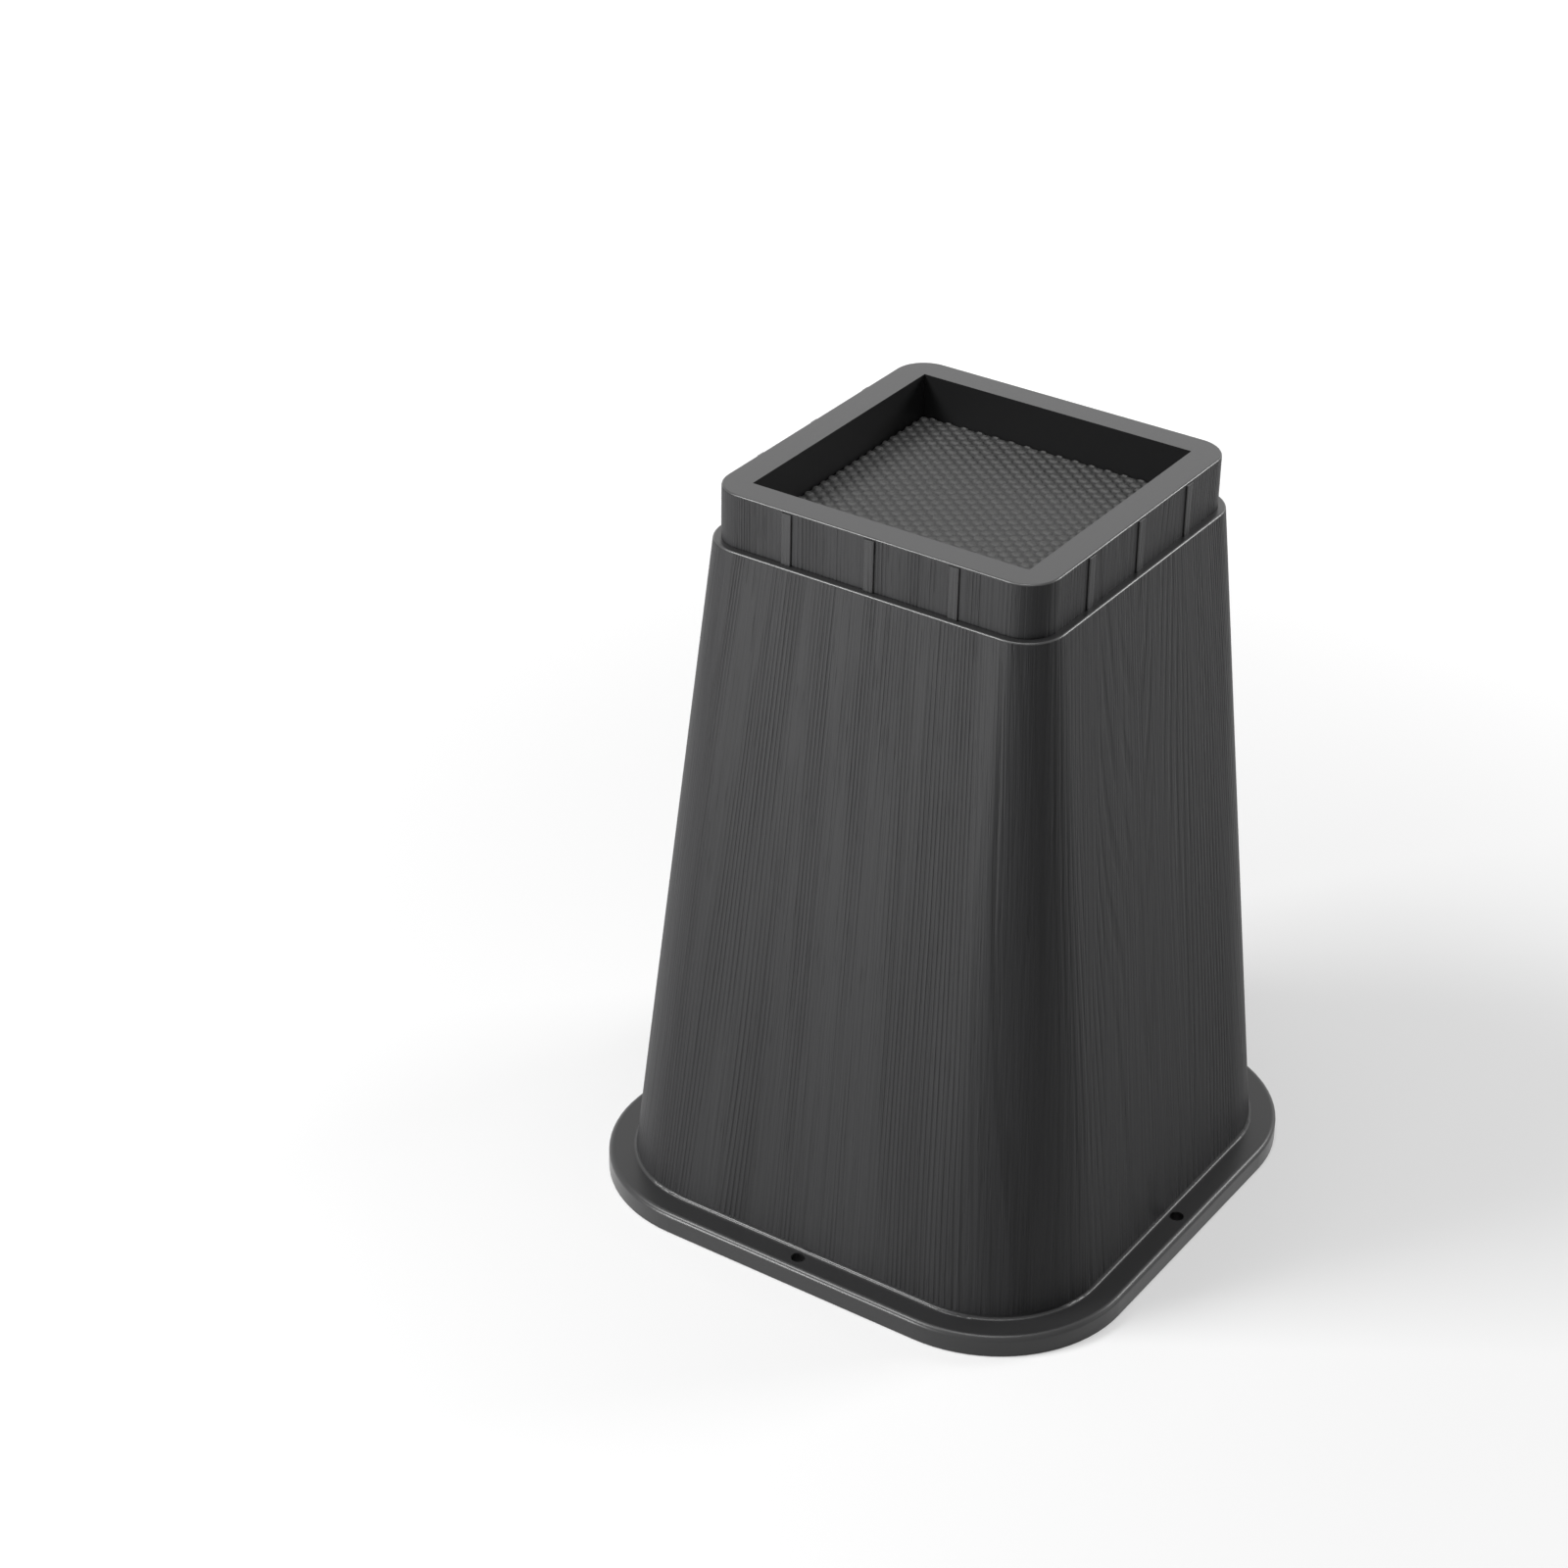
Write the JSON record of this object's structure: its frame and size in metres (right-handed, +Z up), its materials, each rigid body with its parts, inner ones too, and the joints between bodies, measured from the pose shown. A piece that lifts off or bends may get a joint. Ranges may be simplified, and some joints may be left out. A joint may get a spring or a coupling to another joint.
{
  "type": "bed riser",
  "caption": "Tapered square plastic riser with a flanged foot and a collared socket that holds a furniture leg on an embossed non-slip pad, to lift a bed or sofa.",
  "frame": {"origin": "on the floor, at the middle of the flanged foot", "axes": "+Z up along the riser's axis, X and Y square to its sides"},
  "size_m": [0.161, 0.161, 0.2152],
  "materials": {
    "moulding": "satin, wood grain",
    "pad": "matte, embossed"
  },
  "bodies": {
    "root": {"riser_body": "moulding", "non_slip_pad": "pad"}
  },
  "joints": []
}
